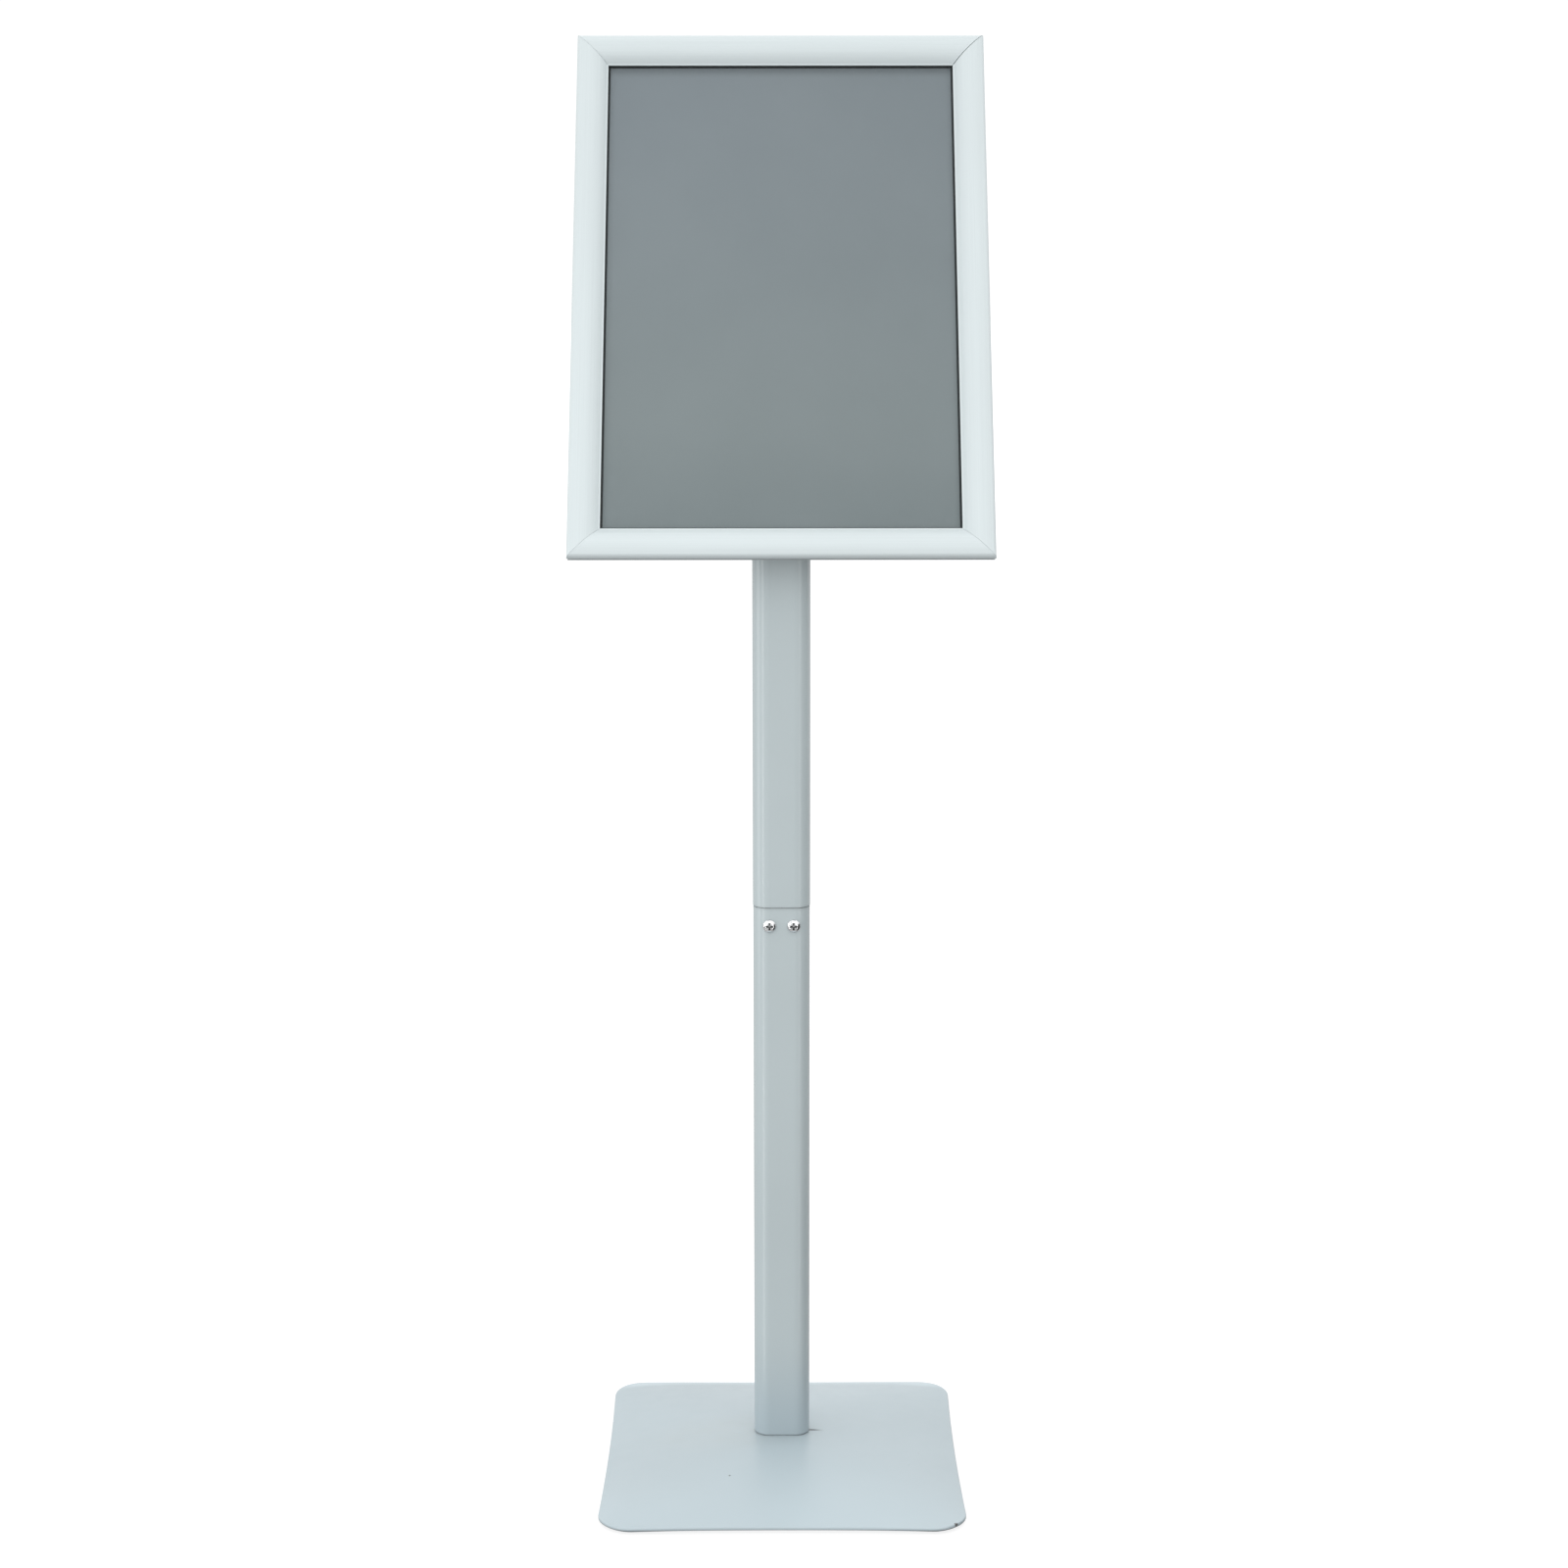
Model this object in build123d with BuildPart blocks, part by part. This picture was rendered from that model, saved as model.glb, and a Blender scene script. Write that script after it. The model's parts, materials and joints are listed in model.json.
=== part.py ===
from build123d import *
import os
from math import cos, radians, sin

# A floor-standing sign stand: a domed steel base, a two-piece flat-oval pole that leans
# back at the top, and an A3 snap-open poster frame that turns on a clamped pivot.
# Millimetres. The origin is the centre of the base on the floor. +Z is up, and the sign
# faces -Y, leaning back towards +Y.

# ------------------------------------------------------------------ driving dimensions

# Base: one pressed sheet, domed under the pole, on four rubber pads
BASE_SIDE = 290.0
BASE_BOW = 2.6  # how far each side's middle is drawn in by the pressing
BASE_CORNER_R = 27.0
BASE_SHEET = 3.0
BASE_RIM_R = 1.0  # the paint softens the sheet's edge this much
BASE_EDGE_Z = 2.0  # underside of the sheet's edge above the floor
DOME_RISE = 19.3
DOME_RIDGES = 2.2  # 0 is a round pillow, and more raises soft ridges towards the corners
PAD_R = 10.0
PAD_INSET = 26.0  # pad centre to the base's side

# Pole: flat-oval tube, wide face to the front
POLE_W = 45.0
POLE_D = 25.0
POLE_WALL = 1.5
SEAM_Z = 467.0  # top of the lower tube
SEAM_GAP = 0.6
UPPER_SWELL = 0.5  # the upper tube is rolled this much wider and deeper than the lower
BEND_R = 110.0
TUBE_TOP_V = 282.0  # the upper tube's end, measured up the sign's back
TUBE_CAP_T = 3.0
CAP_SKIRT = (1.6, 10.0)  # wall and depth of the skirt inside the tube
CAP_FIT = 0.2  # the skirt is this much smaller across than the tube's inside

# Fixings at the pole's foot: two M8 bolts through a clamp plate under the base
FOOT_BOLT_PITCH = 22.0
FOOT_BOLT_R = 4.0
FOOT_BOLT_PLAY = 0.5
FOOT_BOLT_HEX = 6.5  # half the head's width across flats
FOOT_BOLT_HEAD_H = 5.3
FOOT_BOLT_CHAMFER = 0.6
FOOT_PLUG_H = 14.0
CLAMP_PLATE = (62.0, 34.0, 4.0)
CLAMP_PLATE_CORNER_R = 5.0
SPRING_WASHER_R = 7.2
SPRING_WASHER_T = 2.2

# Fixings at the seam: a sleeve in both tubes, held by two M5 screws in weld nuts
SLEEVE_LENGTH = 150.0
SLEEVE_WALL = 2.0
SLEEVE_FIT = 0.3  # gap between the sleeve and the tubes around it
SCREW_Z = 452.9
SCREW_PITCH = 19.1
SCREW_R = 2.5
SCREW_PLAY = 0.25
SCREW_LENGTH = 12.0
SCREW_HEAD_R = 5.2
SCREW_HEAD_H = 3.1
WELD_NUT_HALF_W = 4.0
WELD_NUT_H = 4.0
WELD_NUT_STAND_OFF = 1.2  # the nuts' weld feet clear the sleeve's rounded sides

# Sign head: A3 snap frame, leaning back
TILT = 27.0
HEAD_FOOT_Y = -40.0  # lower edge of the frame's back face
HEAD_FOOT_Z = 744.5
FRAME_W = 327.0
FRAME_H = 450.0
PROFILE_W = 25.0
POSTER_W = 297.0
POSTER_H = 420.0
PIVOT_V = FRAME_H / 2

# Frame rail, u inwards from the outer edge and w forwards from the back face
FLANGE = 1.2
FLANGE_FROM_U = 2.0
FLANGE_TO_U = 24.0
STOP_U = 13.0
STOP_TOP_W = 5.2
HINGE_U = 2.9
HINGE_W = 3.2
BEAD_R = 1.5
SOCKET_R = 1.6
SOCKET_WALL = 1.0
MOUTH_FROM = radians(66)  # the socket's mouth lets the cover's web swing 90 degrees
MOUTH_TO = radians(204)

# Frame cover: rounded shoulder, one long crown down to the sheets, then a narrow flat lip
COVER_WALL = 1.2
COVER_SIDE_W = 6.2  # lower edge of the cover's outer side
SHOULDER = (0.0, 10.4)
SHOULDER_R = 3.5
CROWN_TOP = (9.0, 12.5)
LIP_FROM_U = 23.9
LIP_W = 4.5  # underside of the inner lip
WEB_T = 1.0
WEB_H = 7.4
BEAD_END = 5.2  # bead and web stop this far from the corner, clear of the next cover
COVER_GAP = 0.1  # each cover is cut this much short of the mitre
LOOSE_MITRE_GAP = 0.55  # the top cover is a little short at its right end

# Sheets in the frame, from the back forwards. The back panel is a little smaller
BACK_PANEL = 1.5
POSTER = 0.3
CLEAR_SHEET = 0.5
BACK_PANEL_TRIM = 1.0

# Bracket behind the frame, from the frame's back face backwards
CROSSBAR = (316.0, 22.0, 3.0)
CROSSBAR_CORNER_R = 4.0
CROSSBAR_OFFSET = 50.0  # above and below the pivot
BRACKET_PLATE = (110.0, 128.0, 2.5)
BRACKET_PLATE_CORNER_R = 10.0
FRICTION_WASHER = 1.5
FRICTION_WASHER_R = 26.0
HEAD_PLATE = (56.0, 100.0, 3.0)
HEAD_PLATE_CORNER_R = 8.0
STUD_R = 4.0
STUD_FIT = 0.08
STUD_PLAY = 0.5
STUD_NECK = 10.0  # side of the square neck
STUD_NECK_FIT = 0.1
STUD_HEAD_R = 12.0
STUD_HEAD_H = 2.6
STUD_HEAD_ROUNDING = 1.0
STUD_TIP_CHAMFER = 0.8
STUD_REACH = 14.0  # how far the stud runs into the knob
SPACER_WALL = 3.0
KNOB_R = 21.0
KNOB_H = 20.0
KNOB_LOBES = 6
KNOB_ROUNDING = 2.0
KNOB_NECK_H = 6.0
KNOB_STAND_OFF = 0.1
KNOB_WASHER = 1.6
KNOB_WASHER_R = 12.0
INSERT_R = 6.5
INSERT_LENGTH = 15.0
RIVET_R = 2.0
RIVET_PITCH = 80.0
RIVET_HEAD_H = 0.9
RIVET_TAIL_H = 1.3
BAR_SCREW_R = 2.0
BAR_SCREW_PLAY = 0.15
THREAD_PLAY = 0.05  # around a screw in the thread that it is screwed into
BAR_SCREW_U = 9.2  # from the frame's outer edge, clear of the sheets
BAR_SCREW_LENGTH = 7.0
BAR_SCREW_HEAD_R = 4.0
BAR_SCREW_HEAD_H = 2.4

# Corner keys and leaf springs inside the frame
KEY_U = 9.2  # centre line of the keys' arms
KEY_ARM = 32.0
KEY_WIDTH = 6.0
KEY_HEIGHT = 3.0
KEY_SCREW_REACH = 28.0  # key screws, from the frame's corner
KEY_SCREW_R = 2.0
KEY_SCREW_PLAY = 0.1
KEY_SCREW_SINK = 0.1
KEY_SOCKET = 1.0  # half the hexagon's width across flats
SPRING_T = 0.4
SPRING_LIFT = 0.05  # the spring's foot above the flange
SPRING_HEEL_GAP = 0.3  # from the heel to the poster stop
SPRING_KNEE_U = 8.0
SPRING_NOSE = (4.2, 7.0)
SPRING_TIP = (5.3, 8.6)
SPRING_KNEE_R = 1.5
SPRING_NOSE_R = 0.8
SPRING_LENGTH = 24.0

CUT = 80.0  # longer than any blank that it trims

# ---------------------------------------------------------------------- shared planes

lean = radians(TILT)
head = Plane(
    origin=(0, HEAD_FOOT_Y, HEAD_FOOT_Z),
    x_dir=(1, 0, 0),
    z_dir=(0, -cos(lean), sin(lean)),
)
CROSSBAR_W = -CROSSBAR[2]
BRACKET_W = CROSSBAR_W - BRACKET_PLATE[2]
WASHER_W = BRACKET_W - FRICTION_WASHER
TUBE_FACE_W = WASHER_W - HEAD_PLATE[2]
TUBE_BACK_W = TUBE_FACE_W - POLE_D - UPPER_SWELL
TUBE_AXIS_W = (TUBE_FACE_W + TUBE_BACK_W) / 2
head_axis = Axis(head.origin, head.z_dir)


def save(piece, name):
    """Label one finished piece and write it as its own STEP file."""
    piece.part.label = name
    export_step(piece.part, f"parts/{name}.step")


def dome_height(x, y):
    """Rise of the base's pressed dome: none along its four sides, most in the middle."""
    u = (2 * x / BASE_SIDE) ** 2
    v = (2 * y / BASE_SIDE) ** 2
    return DOME_RISE * (1 - u) * (1 - v) * (1 + DOME_RIDGES * u * v)


def dome_face(edge_z):
    """Domed face, a little larger than the base all round."""
    steps = [BASE_SIDE / 12 * i for i in range(-7, 8)]
    return Face.make_surface_from_array_of_points(
        [[Vector(x, y, edge_z + dome_height(x, y)) for y in steps] for x in steps]
    )


def foot_bolt_circles(radius, mode=Mode.ADD):
    """One circle on each foot bolt's axis, in the sketch being drawn."""
    with GridLocations(FOOT_BOLT_PITCH, 0, 2, 1):
        Circle(radius, mode=mode)


def tube_outline(plane, grow, wall):
    """Flat-oval tube section, its wide face to the front."""
    with BuildSketch(plane) as section:
        SlotOverall(POLE_W + grow, POLE_D + grow)
        offset(amount=-wall, mode=Mode.SUBTRACT)
    return section.sketch


def pivot_ring(w, radius, hole):
    """Disc on the pivot's axis, at height w above the frame's back face, with a round hole."""
    with BuildSketch(head.offset(w)) as ring:
        with Locations((0, PIVOT_V)):
            Circle(radius)
            Circle(hole, mode=Mode.SUBTRACT)
    return ring.sketch


def pivot_disc(w, radius):
    """Plain disc on the pivot's axis."""
    with BuildSketch(head.offset(w)) as disc:
        with Locations((0, PIVOT_V)):
            Circle(radius)
    return disc.sketch


def lobed_outline(w):
    """Round hand-knob outline with shallow finger scallops."""
    scallop_r = 0.46 * KNOB_R
    scallop_centre = 1.32 * KNOB_R
    with BuildSketch(head.offset(w)) as outline:
        with Locations((0, PIVOT_V)):
            Circle(KNOB_R)
            with PolarLocations(scallop_centre, KNOB_LOBES):
                Circle(scallop_r, mode=Mode.SUBTRACT)
        fillet(outline.vertices(), 0.09 * KNOB_R)
    return outline.sketch


def pan_screw(radius, length, head_radius, head_height):
    """Cross-recessed pan-head screw: the head stands on z = 0 and the shank points down."""
    tip = 0.4
    rim = (head_radius, 0.35 * head_height)
    crest = (0.35 * head_radius, head_height)
    slot = (1.15 * head_radius, 0.28 * head_radius)
    with BuildPart() as screw:
        with BuildSketch(Plane.XZ):
            with BuildLine():
                Polyline(
                    (0, -length),
                    (radius - tip, -length),
                    (radius, tip - length),
                    (radius, 0),
                    (head_radius, 0),
                    rim,
                )
                RadiusArc(rim, crest, -0.85 * head_radius)
                Polyline(crest, (0, head_height), (0, -length))
            make_face()
        revolve(axis=Axis.Z)
        with BuildSketch(Plane.XY.offset(head_height)):
            Rectangle(slot[0], slot[1])
            Rectangle(slot[1], slot[0])
        extrude(amount=-0.7 * head_height, taper=8, mode=Mode.SUBTRACT)
    return screw.part


# ------------------------------------------------------------------------------- base

os.makedirs("parts", exist_ok=True)

with BuildPart() as base_plate:
    extrude(dome_face(BASE_EDGE_Z + BASE_SHEET), amount=CUT, dir=(0, 0, -1))
    extrude(dome_face(BASE_EDGE_Z), amount=CUT, dir=(0, 0, -1), mode=Mode.SUBTRACT)
    with BuildSketch() as base_outline:
        half_side = BASE_SIDE / 2
        with BuildLine():
            corners = [(-half_side, -half_side), (half_side, -half_side)]
            corners += [(half_side, half_side), (-half_side, half_side)]
            drawn_in = half_side - BASE_BOW
            middles = [(0, -drawn_in), (drawn_in, 0), (0, drawn_in), (-drawn_in, 0)]
            for i, middle in enumerate(middles):
                ThreePointArc(corners[i], middle, corners[(i + 1) % 4])
        make_face()
        fillet(base_outline.vertices(), BASE_CORNER_R)
    extrude(amount=CUT, mode=Mode.INTERSECT)
    rim = base_plate.edges().filter_by(lambda edge: abs(edge.tangent_at(0.5).Z) < 0.5)
    fillet(rim, BASE_RIM_R)
    with BuildSketch():
        foot_bolt_circles(FOOT_BOLT_R + FOOT_BOLT_PLAY)
    extrude(amount=CUT, mode=Mode.SUBTRACT)
save(base_plate, "base_plate")

# The clamp plate's corners touch the sheet from below
clamp_top = BASE_EDGE_Z + dome_height(CLAMP_PLATE[0] / 2, CLAMP_PLATE[1] / 2)
bolt_seat_z = clamp_top - CLAMP_PLATE[2]
with BuildPart() as clamp_plate:
    with BuildSketch(Plane.XY.offset(bolt_seat_z)):
        RectangleRounded(CLAMP_PLATE[0], CLAMP_PLATE[1], CLAMP_PLATE_CORNER_R)
        foot_bolt_circles(FOOT_BOLT_R + FOOT_BOLT_PLAY, mode=Mode.SUBTRACT)
    extrude(amount=CLAMP_PLATE[2])
save(clamp_plate, "base_clamp_plate")

pad_centre = BASE_SIDE / 2 - PAD_INSET
pad_places = {
    "front_left": (-pad_centre, -pad_centre),
    "front_right": (pad_centre, -pad_centre),
    "rear_left": (-pad_centre, pad_centre),
    "rear_right": (pad_centre, pad_centre),
}
for corner, place in pad_places.items():
    with BuildPart() as foot_pad:
        extrude(dome_face(BASE_EDGE_Z), amount=CUT, dir=(0, 0, -1))
        with BuildSketch():
            with Locations(place):
                Circle(PAD_R)
        extrude(amount=CUT, mode=Mode.INTERSECT)
    save(foot_pad, f"foot_pad_{corner}")

# ------------------------------------------------------------------------------- pole

foot_z = BASE_EDGE_Z + BASE_SHEET + DOME_RISE
screw_plane = Plane(origin=(0, -POLE_D / 2, SCREW_Z), x_dir=(1, 0, 0), z_dir=(0, -1, 0))

with BuildPart() as lower_tube:
    extrude(tube_outline(Plane.XY.offset(foot_z), 0, POLE_WALL), amount=SEAM_Z - foot_z)
    with BuildSketch(screw_plane):
        with GridLocations(SCREW_PITCH, 0, 2, 1):
            Circle(SCREW_R + SCREW_PLAY)
    extrude(amount=-POLE_D / 2, mode=Mode.SUBTRACT)
save(lower_tube, "lower_tube")

with BuildPart() as foot_plug:
    with BuildSketch(Plane.XY.offset(foot_z)):
        SlotOverall(POLE_W - 2 * POLE_WALL, POLE_D - 2 * POLE_WALL)
        foot_bolt_circles(FOOT_BOLT_R, mode=Mode.SUBTRACT)
    extrude(amount=FOOT_PLUG_H)
save(foot_plug, "pole_foot_plug")

with BuildPart() as spring_washers:
    with BuildSketch(Plane.XY.offset(bolt_seat_z)):
        foot_bolt_circles(SPRING_WASHER_R)
        foot_bolt_circles(FOOT_BOLT_R + FOOT_BOLT_PLAY / 2, mode=Mode.SUBTRACT)
    extrude(amount=-SPRING_WASHER_T)
save(spring_washers, "base_spring_washers")

bolt_head_z = bolt_seat_z - SPRING_WASHER_T
with BuildPart() as base_bolts:
    with BuildSketch(Plane.XY.offset(bolt_head_z)):
        with GridLocations(FOOT_BOLT_PITCH, 0, 2, 1):
            RegularPolygon(FOOT_BOLT_HEX, 6, major_radius=False)
    extrude(amount=-FOOT_BOLT_HEAD_H)
    with BuildSketch(Plane.XY.offset(bolt_head_z)):
        foot_bolt_circles(FOOT_BOLT_R)
    extrude(amount=foot_z + FOOT_PLUG_H - bolt_head_z)
    chamfer(base_bolts.faces().sort_by(Axis.Z)[:2].edges(), FOOT_BOLT_CHAMFER)
save(base_bolts, "base_bolts")

with BuildPart() as joiner_sleeve:
    sleeve_shrink = 2 * (POLE_WALL + SLEEVE_FIT)
    sleeve_plane = Plane.XY.offset(SEAM_Z - SLEEVE_LENGTH / 2)
    extrude(tube_outline(sleeve_plane, -sleeve_shrink, SLEEVE_WALL), amount=SLEEVE_LENGTH)
    with BuildSketch(screw_plane):
        with GridLocations(SCREW_PITCH, 0, 2, 1):
            Circle(SCREW_R + SCREW_PLAY)
    extrude(amount=-POLE_D / 2, mode=Mode.SUBTRACT)
save(joiner_sleeve, "joiner_sleeve")

nut_depth = POLE_WALL + SLEEVE_FIT + SLEEVE_WALL + WELD_NUT_STAND_OFF
with BuildPart() as weld_nuts:
    with BuildSketch(screw_plane.offset(-nut_depth)):
        with GridLocations(SCREW_PITCH, 0, 2, 1):
            RegularPolygon(WELD_NUT_HALF_W, 6, major_radius=False)
            Circle(SCREW_R + THREAD_PLAY, mode=Mode.SUBTRACT)
    extrude(amount=-WELD_NUT_H)
save(weld_nuts, "joiner_weld_nuts")

joiner_screw = pan_screw(SCREW_R, SCREW_LENGTH, SCREW_HEAD_R, SCREW_HEAD_H)
with BuildPart(screw_plane) as joiner_screws:
    with GridLocations(SCREW_PITCH, 0, 2, 1):
        add(joiner_screw)
save(joiner_screws, "joiner_screws")

# The upper tube's centre line: straight up, then leaning back along the sign
tube_foot = head.from_local_coords(Vector(0, 0, TUBE_AXIS_W))
tube_end = head.from_local_coords(Vector(0, TUBE_TOP_V, TUBE_AXIS_W))
corner_v = -tube_foot.Y / sin(lean)
bend_corner = head.from_local_coords(Vector(0, corner_v, TUBE_AXIS_W))

with BuildPart() as upper_tube:
    with BuildLine(Plane.YZ):
        FilletPolyline(
            (0, SEAM_Z + SEAM_GAP),
            (0, bend_corner.Z),
            (tube_end.Y, tube_end.Z),
            radius=BEND_R,
        )
    add(tube_outline(Plane.XY.offset(SEAM_Z + SEAM_GAP), UPPER_SWELL, POLE_WALL))
    sweep()
    extrude(pivot_disc(TUBE_FACE_W, STUD_R + STUD_PLAY), amount=-CUT, mode=Mode.SUBTRACT)
save(upper_tube, "upper_tube")

tube_end_plane = Plane(origin=tube_end, x_dir=(1, 0, 0), z_dir=head.y_dir)
with BuildPart() as tube_cap:
    with BuildSketch(tube_end_plane):
        SlotOverall(POLE_W + UPPER_SWELL, POLE_D + UPPER_SWELL)
    extrude(amount=TUBE_CAP_T)
    outer_face = tube_cap.faces().sort_by(Axis(tube_end, head.y_dir))[-1]
    fillet(outer_face.edges(), TUBE_CAP_T / 2)
    skirt_grow = UPPER_SWELL - 2 * POLE_WALL - CAP_FIT
    extrude(tube_outline(tube_end_plane, skirt_grow, CAP_SKIRT[0]), amount=-CAP_SKIRT[1])
save(tube_cap, "tube_end_cap")

# ---------------------------------------------------------------- pivot behind the sign

with BuildPart() as head_plate:
    with BuildSketch(head.offset(TUBE_FACE_W)):
        with Locations((0, PIVOT_V)):
            RectangleRounded(HEAD_PLATE[0], HEAD_PLATE[1], HEAD_PLATE_CORNER_R)
            Circle(STUD_R + STUD_FIT, mode=Mode.SUBTRACT)
    extrude(amount=HEAD_PLATE[2])
save(head_plate, "head_plate")

with BuildPart() as tube_spacer:
    spacer_hole = STUD_R + STUD_PLAY
    inner_depth = POLE_D + UPPER_SWELL - 2 * POLE_WALL
    spacer_ring = pivot_ring(TUBE_FACE_W - POLE_WALL, spacer_hole + SPACER_WALL, spacer_hole)
    extrude(spacer_ring, amount=-inner_depth)
save(tube_spacer, "tube_spacer")

with BuildPart() as friction_washer:
    washer_ring = pivot_ring(WASHER_W, FRICTION_WASHER_R, STUD_R + STUD_FIT)
    extrude(washer_ring, amount=FRICTION_WASHER)
save(friction_washer, "friction_washer")

with BuildPart() as bracket_plate:
    with BuildSketch(head.offset(BRACKET_W)):
        with Locations((0, PIVOT_V)):
            RectangleRounded(BRACKET_PLATE[0], BRACKET_PLATE[1], BRACKET_PLATE_CORNER_R)
            Rectangle(STUD_NECK, STUD_NECK, mode=Mode.SUBTRACT)
            with GridLocations(RIVET_PITCH, 2 * CROSSBAR_OFFSET, 2, 2):
                Circle(RIVET_R, mode=Mode.SUBTRACT)
    extrude(amount=BRACKET_PLATE[2])
save(bracket_plate, "bracket_plate")

# Carriage-bolt style stud: flat head in front of the bracket, square neck in it, and a
# round shank back through the washer, plate and tube into the knob
stud_tip_w = TUBE_BACK_W - KNOB_WASHER - STUD_REACH
with BuildPart() as pivot_stud:
    extrude(pivot_disc(CROSSBAR_W, STUD_HEAD_R), amount=STUD_HEAD_H)
    fillet(pivot_stud.faces().sort_by(head_axis)[-1].edges(), STUD_HEAD_ROUNDING)
    with BuildSketch(head.offset(CROSSBAR_W)):
        with Locations((0, PIVOT_V)):
            Rectangle(STUD_NECK - STUD_NECK_FIT, STUD_NECK - STUD_NECK_FIT)
    extrude(amount=-BRACKET_PLATE[2])
    extrude(pivot_disc(BRACKET_W, STUD_R), amount=stud_tip_w - BRACKET_W)
    chamfer(pivot_stud.faces().sort_by(head_axis)[0].edges(), STUD_TIP_CHAMFER)
save(pivot_stud, "pivot_stud")

with BuildPart() as knob_washer:
    extrude(pivot_ring(TUBE_BACK_W, KNOB_WASHER_R, STUD_R + STUD_FIT), amount=-KNOB_WASHER)
save(knob_washer, "knob_washer")

knob_face_w = TUBE_BACK_W - KNOB_WASHER - KNOB_STAND_OFF
with BuildPart() as clamp_knob:
    extrude(pivot_disc(knob_face_w, KNOB_R / 2), amount=-KNOB_NECK_H)
    extrude(lobed_outline(knob_face_w - KNOB_NECK_H), amount=KNOB_NECK_H - KNOB_H)
    fillet(clamp_knob.faces().sort_by(head_axis)[0].edges(), KNOB_ROUNDING)
    extrude(pivot_disc(knob_face_w, INSERT_R), amount=-INSERT_LENGTH, mode=Mode.SUBTRACT)
save(clamp_knob, "clamp_knob")

with BuildPart() as knob_insert:
    extrude(pivot_ring(knob_face_w, INSERT_R, STUD_R + STUD_FIT), amount=-INSERT_LENGTH)
save(knob_insert, "knob_insert")

# ------------------------------------------------------------------ bars behind the sign

bar_screw_x = FRAME_W / 2 - BAR_SCREW_U
for bar_name, bar_v in {
    "crossbar_lower": PIVOT_V - CROSSBAR_OFFSET,
    "crossbar_upper": PIVOT_V + CROSSBAR_OFFSET,
}.items():
    with BuildPart() as crossbar:
        with BuildSketch(head.offset(CROSSBAR_W)):
            with Locations((0, bar_v)):
                RectangleRounded(CROSSBAR[0], CROSSBAR[1], CROSSBAR_CORNER_R)
                with GridLocations(RIVET_PITCH, 0, 2, 1):
                    Circle(RIVET_R, mode=Mode.SUBTRACT)
                with GridLocations(2 * bar_screw_x, 0, 2, 1):
                    Circle(BAR_SCREW_R + BAR_SCREW_PLAY, mode=Mode.SUBTRACT)
        extrude(amount=CROSSBAR[2])
    save(crossbar, bar_name)

with BuildPart() as bracket_rivets:
    for plane_w, reach, radius in (
        (0, RIVET_HEAD_H, 2 * RIVET_R),
        (BRACKET_W, -BRACKET_W, RIVET_R),
        (BRACKET_W, -RIVET_TAIL_H, 1.8 * RIVET_R),
    ):
        with BuildSketch(head.offset(plane_w)):
            with Locations((0, PIVOT_V)):
                with GridLocations(RIVET_PITCH, 2 * CROSSBAR_OFFSET, 2, 2):
                    Circle(radius)
        extrude(amount=reach)
save(bracket_rivets, "bracket_rivets")

back_plane = Plane(
    origin=head.from_local_coords(Vector(0, PIVOT_V, CROSSBAR_W)),
    x_dir=(1, 0, 0),
    z_dir=-head.z_dir,
)
bar_screw = pan_screw(BAR_SCREW_R, BAR_SCREW_LENGTH, BAR_SCREW_HEAD_R, BAR_SCREW_HEAD_H)
with BuildPart(back_plane) as crossbar_screws:
    with GridLocations(2 * bar_screw_x, 2 * CROSSBAR_OFFSET, 2, 2):
        add(bar_screw)
save(crossbar_screws, "crossbar_screws")

# -------------------------------------------------------------------------- snap frame

# Each side: the middle of its outer edge, the way inwards, and half its length
half_w = FRAME_W / 2
half_h = FRAME_H / 2
frame_sides = {
    "bottom": ((0, 0, 0), head.y_dir, half_w),
    "top": ((0, FRAME_H, 0), -head.y_dir, half_w),
    "left": ((-half_w, half_h, 0), head.x_dir, half_h),
    "right": ((half_w, half_h, 0), -head.x_dir, half_h),
}


def side_plane(edge_middle, inward):
    """Section plane of one side: x inwards, y forwards, z along the side."""
    return Plane(
        origin=head.from_local_coords(Vector(*edge_middle)),
        x_dir=inward,
        z_dir=inward.cross(head.z_dir),
    )


def mitre_plane(section, half_length, end):
    """The 45-degree cut at one end of a side, facing out of the side."""
    corner = section.from_local_coords(Vector(0, 0, end * half_length))
    return Plane(origin=corner, z_dir=section.x_dir + section.z_dir * end)


def rail_section(plane):
    """Fixed lower profile: back flange, hinge socket open to the outside, poster stop."""
    with BuildSketch(plane) as section:
        with Locations(((FLANGE_FROM_U + FLANGE_TO_U) / 2, FLANGE / 2)):
            Rectangle(FLANGE_TO_U - FLANGE_FROM_U, FLANGE)
        with Locations((STOP_U + FLANGE / 2, STOP_TOP_W / 2)):
            Rectangle(FLANGE, STOP_TOP_W)
        with Locations((HINGE_U, HINGE_W)):
            Circle(SOCKET_R + SOCKET_WALL)
            Circle(SOCKET_R, mode=Mode.SUBTRACT)
        with BuildLine():
            mouth = 2 * (SOCKET_R + SOCKET_WALL)
            lip_a = (HINGE_U + mouth * cos(MOUTH_FROM), HINGE_W + mouth * sin(MOUTH_FROM))
            lip_b = (HINGE_U + mouth * cos(MOUTH_TO), HINGE_W + mouth * sin(MOUTH_TO))
            far_corner = (HINGE_U - mouth, HINGE_W + mouth)
            Polyline((HINGE_U, HINGE_W), lip_a, far_corner, lip_b, close=True)
        make_face(mode=Mode.SUBTRACT)
    return section.sketch


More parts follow.
